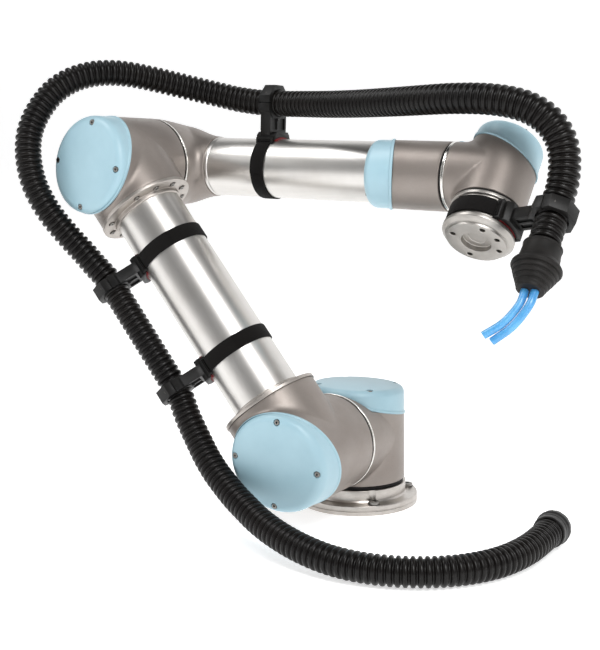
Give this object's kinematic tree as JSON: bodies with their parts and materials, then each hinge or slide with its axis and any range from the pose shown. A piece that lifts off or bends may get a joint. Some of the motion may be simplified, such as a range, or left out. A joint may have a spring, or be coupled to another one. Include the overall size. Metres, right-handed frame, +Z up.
{
  "type": "robot arm",
  "caption": "Articulated robot arm on a round bolted foot, with domed joint covers, tubular links and a corrugated hose clipped along it to the tool flange, ending in air lines.",
  "frame": {"origin": "centre of the round foot, on its underside", "axes": "+Z up along the base joint axis, +X the way the forearm points in the stored pose, the joint covers of the shoulder and elbow face -Y"},
  "size_m": [0.6816, 0.3556, 0.5543],
  "materials": {
    "bare_aluminium": "brushed, clear anodised",
    "cast_grey": "bead-blasted grey, satin",
    "cover_blue": "satin moulded plastic",
    "seal_rubber": "matte lip seal",
    "drive_metal": "machined steel and aluminium can",
    "bolt_steel": "zinc plated",
    "clip_plastic": "glass-filled nylon, satin",
    "pad_rubber": "matte soft rubber",
    "strap_webbing": "woven webbing",
    "hose_plastic": "corrugated nylon, semi-gloss",
    "collar_plastic": "satin",
    "boot_rubber": "matte moulded rubber",
    "air_line_plastic": "glossy polyurethane"
  },
  "bodies": {
    "base": {"base_bolt_1": "bolt_steel", "base_bolt_2": "bolt_steel", "base_bolt_3": "bolt_steel", "base_bolt_4": "bolt_steel", "base_foot": "bare_aluminium", "base_seal": "seal_rubber", "hose_base_run": "hose_plastic", "hose_end_collar": "collar_plastic"},
    "shoulder": {"base_joint_drive": "drive_metal", "shoulder_housing": "cast_grey", "shoulder_joint_ring": "bare_aluminium", "shoulder_top_cap": "cover_blue"},
    "upper_arm": {"clip_upper_arm_high_bracket": "clip_plastic", "clip_upper_arm_high_pad": "pad_rubber", "clip_upper_arm_high_strap": "strap_webbing", "clip_upper_arm_low_bracket": "clip_plastic", "clip_upper_arm_low_pad": "pad_rubber", "clip_upper_arm_low_strap": "strap_webbing", "elbow_cap": "cover_blue", "elbow_housing": "cast_grey", "elbow_joint_drive": "drive_metal", "elbow_seal": "seal_rubber", "hose_elbow_loop": "hose_plastic", "hose_upper_arm_run": "hose_plastic", "shoulder_joint_drive": "drive_metal", "shoulder_seal": "seal_rubber", "upper_arm_lower_cap": "cover_blue", "upper_arm_lower_housing": "cast_grey", "upper_arm_tube": "bare_aluminium"},
    "forearm": {"clip_forearm_bracket": "clip_plastic", "clip_forearm_pad": "pad_rubber", "clip_forearm_strap": "strap_webbing", "elbow_joint_ring": "bare_aluminium", "elbow_link_housing": "cast_grey", "forearm_tube": "bare_aluminium", "hose_wrist_loop": "hose_plastic", "wrist_1_cap": "cover_blue", "wrist_1_drive": "drive_metal", "wrist_1_housing": "cast_grey", "wrist_1_seal": "seal_rubber"},
    "wrist_1": {"wrist_1_ring": "bare_aluminium", "wrist_2_cap": "cover_blue", "wrist_2_drive": "drive_metal", "wrist_2_housing": "cast_grey", "wrist_2_seal": "seal_rubber"},
    "wrist_2": {"wrist_2_ring": "bare_aluminium", "wrist_3_cap": "cover_blue", "wrist_3_drive": "drive_metal", "wrist_3_housing": "cast_grey", "wrist_3_seal": "seal_rubber"},
    "wrist_3": {"air_line_1": "air_line_plastic", "air_line_2": "air_line_plastic", "clip_tool_bracket": "clip_plastic", "clip_tool_pad": "pad_rubber", "clip_tool_strap": "strap_webbing", "hose_boot": "boot_rubber", "hose_end_run": "hose_plastic", "tool_flange": "bare_aluminium"}
  },
  "joints": [
    {"name": "base_joint", "type": "hinge", "parent": "base", "child": "shoulder", "pos_m": [0, 0, 0], "axis": [0, 0, 1], "range_deg": [-45, 60], "deforming": ["hose_base_run"]},
    {"name": "shoulder_joint", "type": "hinge", "parent": "shoulder", "child": "upper_arm", "pos_m": [0, 0, 0.08916], "axis": [0, -1, 0], "range_deg": [-40, 30], "deforming": ["hose_base_run"]},
    {"name": "elbow_joint", "type": "hinge", "parent": "upper_arm", "child": "forearm", "pos_m": [-0.2609, 0, 0.42466], "axis": [0, -1, 0], "range_deg": [-20, 70], "deforming": ["hose_elbow_loop"]},
    {"name": "wrist_1_joint", "type": "hinge", "parent": "forearm", "child": "wrist_1", "pos_m": [0.13098, 0, 0.40754], "axis": [0, -1, 0], "range_deg": [-75, 90], "deforming": ["hose_wrist_loop"]},
    {"name": "wrist_2_joint", "type": "hinge", "parent": "wrist_1", "child": "wrist_2", "pos_m": [0.13098, -0.10915, 0.40754], "axis": [0.9988, 0, -0.0484], "range_deg": [-75, 75], "deforming": ["hose_wrist_loop"]},
    {"name": "wrist_3_joint", "type": "hinge", "parent": "wrist_2", "child": "wrist_3", "pos_m": [0.22552, -0.10915, 0.40296], "axis": [-0.0374, -0.6356, -0.7711], "range_deg": [-90, 90], "deforming": ["hose_wrist_loop"]}
  ]
}
